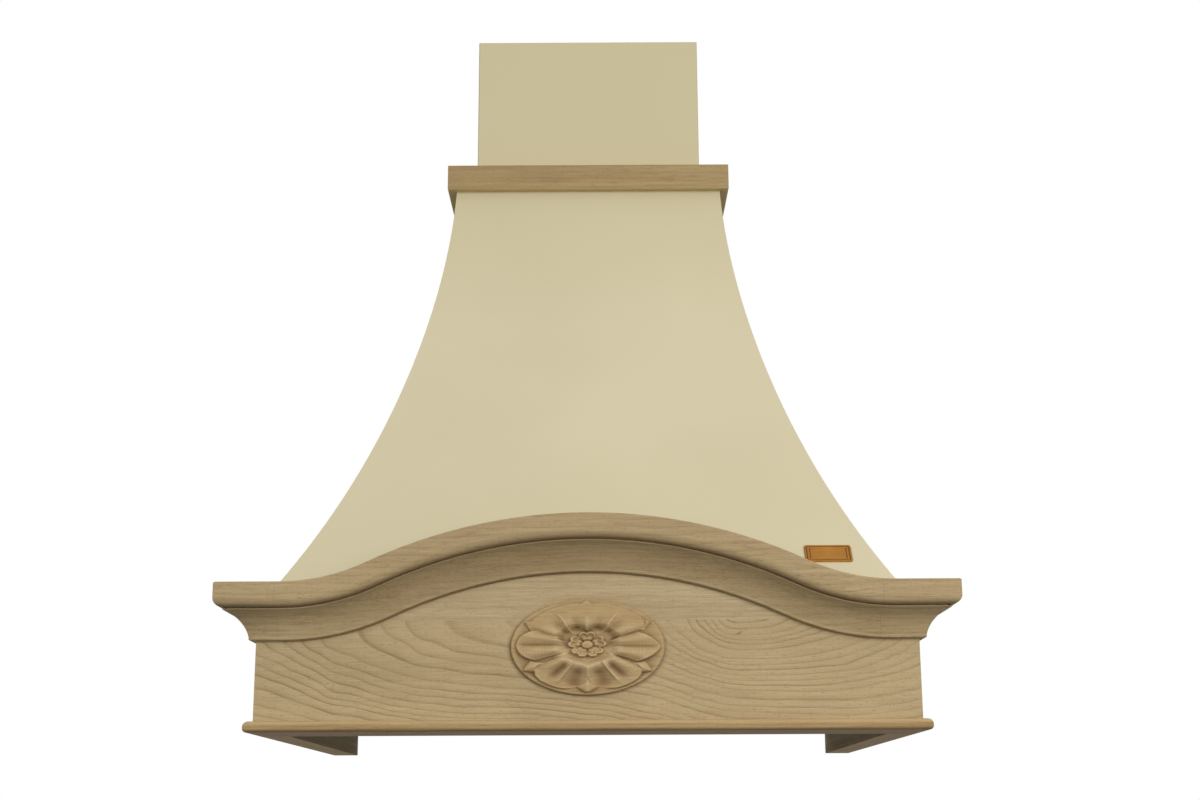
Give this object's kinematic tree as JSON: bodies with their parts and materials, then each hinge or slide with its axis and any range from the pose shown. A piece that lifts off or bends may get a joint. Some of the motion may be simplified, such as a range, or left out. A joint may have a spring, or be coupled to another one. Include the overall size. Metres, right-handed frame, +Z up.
{
  "type": "range hood",
  "caption": "Wall-hung kitchen hood with a flared painted canopy, sliding chimney, arched wooden frame with cornice and carved rosette, hinged grease filters, lamps, buttons and blower.",
  "frame": {"origin": "midway between the four wall holes, on the wall plane behind the back plate", "axes": "+X to the right as seen from the room, +Y into the wall, +Z up; the front faces -Y"},
  "size_m": [0.6, 0.5, 0.72],
  "materials": {
    "beech": "unfinished, planed",
    "cream_paint": "satin",
    "zinc_sheet": "galvanised",
    "grey_paint": "satin",
    "filter_aluminium": "satin",
    "filter_mesh": "expanded mesh",
    "lamp_chrome": "polished",
    "lamp_glass": "frosted",
    "lamp_body": "matt",
    "magnet": "matt",
    "dark_plastic": "matt",
    "button_plastic": "gloss",
    "brass_plate": "polished",
    "fan_plastic": "matt",
    "bright_steel": "bright",
    "motor_case": "matt",
    "flap_plastic": "matt"
  },
  "bodies": {
    "hood": {"front_board_lower": "beech", "front_board_upper": "beech", "left_board": "beech", "right_board": "beech", "cornice_front": "beech", "cornice_left": "beech", "cornice_right": "beech", "rail_front": "beech", "rail_left": "beech", "rail_right": "beech", "rosette": "beech", "collar_front": "beech", "collar_left": "beech", "collar_right": "beech", "corner_blocks": "beech", "rear_batten": "beech", "canopy_front": "cream_paint", "canopy_left": "cream_paint", "canopy_right": "cream_paint", "back_plate": "zinc_sheet", "tray": "grey_paint", "blower_bracket": "zinc_sheet", "motor_bracket": "zinc_sheet", "blower_housing_left": "zinc_sheet", "blower_housing_right": "zinc_sheet", "spigot": "zinc_sheet", "lamp_bezel_left": "lamp_chrome", "lamp_glass_left": "lamp_glass", "lamp_module_left": "lamp_body", "lamp_bezel_right": "lamp_chrome", "lamp_glass_right": "lamp_glass", "lamp_module_right": "lamp_body", "filter_magnets": "magnet", "control_box": "dark_plastic", "switch_block": "dark_plastic", "terminal_box": "dark_plastic", "cable_gland": "dark_plastic", "name_plate": "brass_plate", "motor": "motor_case", "frame_screws": "bright_steel", "plate_screws": "bright_steel"},
    "chimney": {"chimney_cover": "cream_paint", "chimney_strap": "zinc_sheet", "strap_screws": "bright_steel"},
    "filter_left": {"filter_frame_left": "filter_aluminium", "filter_mesh_left": "filter_mesh", "filter_pull_left": "filter_aluminium"},
    "filter_right": {"filter_frame_right": "filter_aluminium", "filter_mesh_right": "filter_mesh", "filter_pull_right": "filter_aluminium"},
    "button_off": {"button_off": "button_plastic"},
    "button_low": {"button_low": "button_plastic"},
    "button_medium": {"button_medium": "button_plastic"},
    "button_high": {"button_high": "button_plastic"},
    "button_light": {"button_light": "button_plastic"},
    "flap_front": {"flap_front": "flap_plastic"},
    "flap_rear": {"flap_rear": "flap_plastic"},
    "rotor": {"impeller": "fan_plastic", "shaft": "bright_steel"}
  },
  "joints": [
    {"name": "chimney_slide", "type": "slide", "parent": "hood", "child": "chimney", "axis": [0, 0, 1], "range_m": [0, 0.15]},
    {"name": "filter_left_swing", "type": "hinge", "parent": "hood", "child": "filter_left", "pos_m": [-0.112, -0.055, -0.203], "axis": [1, 0, 0], "range_deg": [0, 75]},
    {"name": "filter_right_swing", "type": "hinge", "parent": "hood", "child": "filter_right", "pos_m": [0.112, -0.055, -0.203], "axis": [1, 0, 0], "range_deg": [0, 75]},
    {"name": "button_off_press", "type": "slide", "parent": "hood", "child": "button_off", "axis": [0, 0, 1], "range_m": [0, 0.0025], "stiffness_N_per_m": 400, "springref_m": -0.002},
    {"name": "button_low_press", "type": "slide", "parent": "hood", "child": "button_low", "axis": [0, 0, 1], "range_m": [0, 0.0025], "stiffness_N_per_m": 400, "springref_m": -0.002},
    {"name": "button_medium_press", "type": "slide", "parent": "hood", "child": "button_medium", "axis": [0, 0, 1], "range_m": [0, 0.0025], "stiffness_N_per_m": 400, "springref_m": -0.002},
    {"name": "button_high_press", "type": "slide", "parent": "hood", "child": "button_high", "axis": [0, 0, 1], "range_m": [0, 0.0025], "stiffness_N_per_m": 400, "springref_m": -0.002},
    {"name": "button_light_press", "type": "slide", "parent": "hood", "child": "button_light", "axis": [0, 0, 1], "range_m": [0, 0.0025], "stiffness_N_per_m": 400, "springref_m": -0.002},
    {"name": "flap_rear_swing", "type": "hinge", "parent": "hood", "child": "flap_rear", "pos_m": [0, -0.104, 0.079], "axis": [1, 0, 0], "range_deg": [0, 80]},
    {"name": "flap_front_swing", "type": "hinge", "parent": "hood", "child": "flap_front", "pos_m": [0, -0.111, 0.079], "axis": [-1, 0, 0], "range_deg": [0, 80]},
    {"name": "fan_spin", "type": "hinge", "parent": "hood", "child": "rotor", "pos_m": [0, -0.145, -0.045], "axis": [1, 0, 0], "continuous": true}
  ]
}
